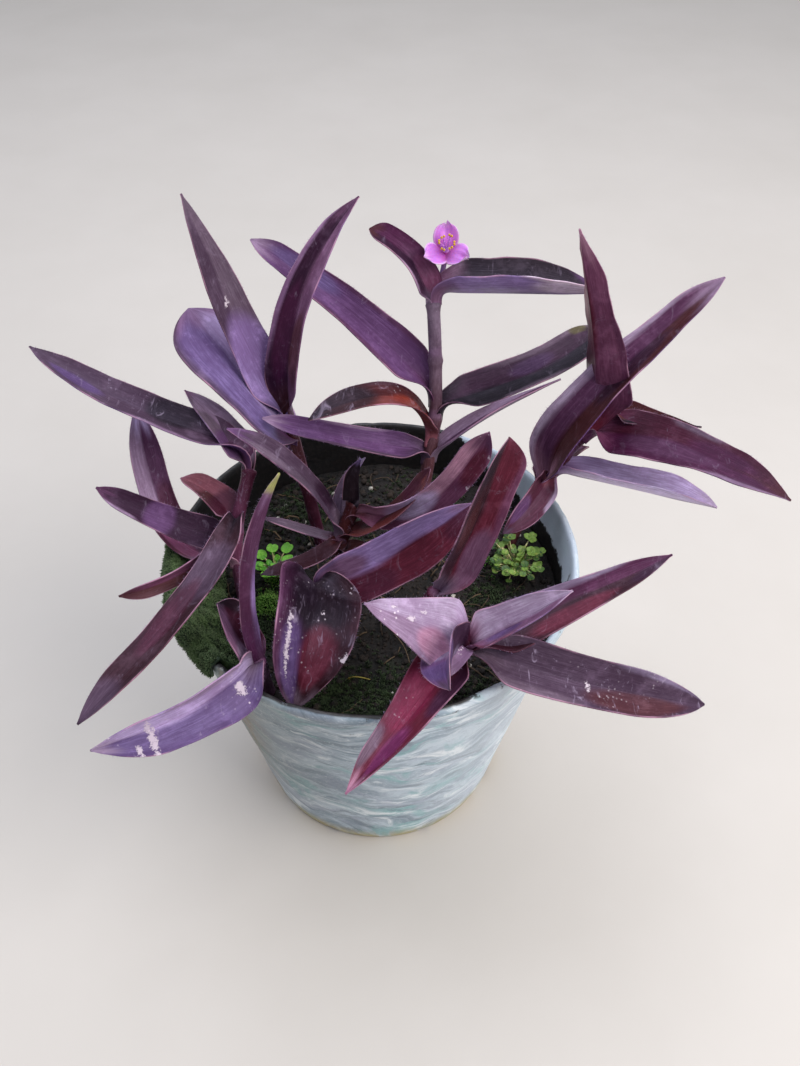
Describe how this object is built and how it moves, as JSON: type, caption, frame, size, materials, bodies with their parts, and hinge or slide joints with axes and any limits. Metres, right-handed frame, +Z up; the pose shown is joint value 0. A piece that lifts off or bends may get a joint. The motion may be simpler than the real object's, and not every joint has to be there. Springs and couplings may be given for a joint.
{
  "type": "potted tradescantia",
  "caption": "Purple-leaved tradescantia with trough-shaped leaves, a pink bloom and small weeds, growing in a tapered round nursery pot filled with soil.",
  "frame": {"origin": "centre of the pot's flat base, on the surface that it stands on", "axes": "+Z up out of the pot, -Y towards the front that the picture shows, +X to the right seen from there"},
  "size_m": [0.2584, 0.1774, 0.2407],
  "materials": {
    "pot": "matte, weathered with pale and blue-grey streaks",
    "soil": "damp, crumbly",
    "leaf_violet": "satin, waxy bloom with fine hairs",
    "leaf_maroon": "satin, waxy bloom with fine hairs",
    "petal": "soft, slightly translucent",
    "stamen": "powdery",
    "moss": "velvety",
    "weed": "soft"
  },
  "bodies": {
    "root": {"pot": "pot", "soil": "soil", "shoot_back_left": "leaf_violet", "shoot_flowering": "leaf_violet", "shoot_right": "leaf_maroon", "shoot_left": "leaf_violet", "shoot_front_left": "leaf_violet", "shoot_centre": "leaf_violet", "shoot_centre_low": "leaf_maroon", "shoot_centre_right": "leaf_maroon", "shoot_front_right": "leaf_maroon", "flower_petals": "petal", "flower_stamens": "stamen", "moss_left": "moss", "weed_left": "weed", "weed_right": "weed"}
  },
  "joints": []
}
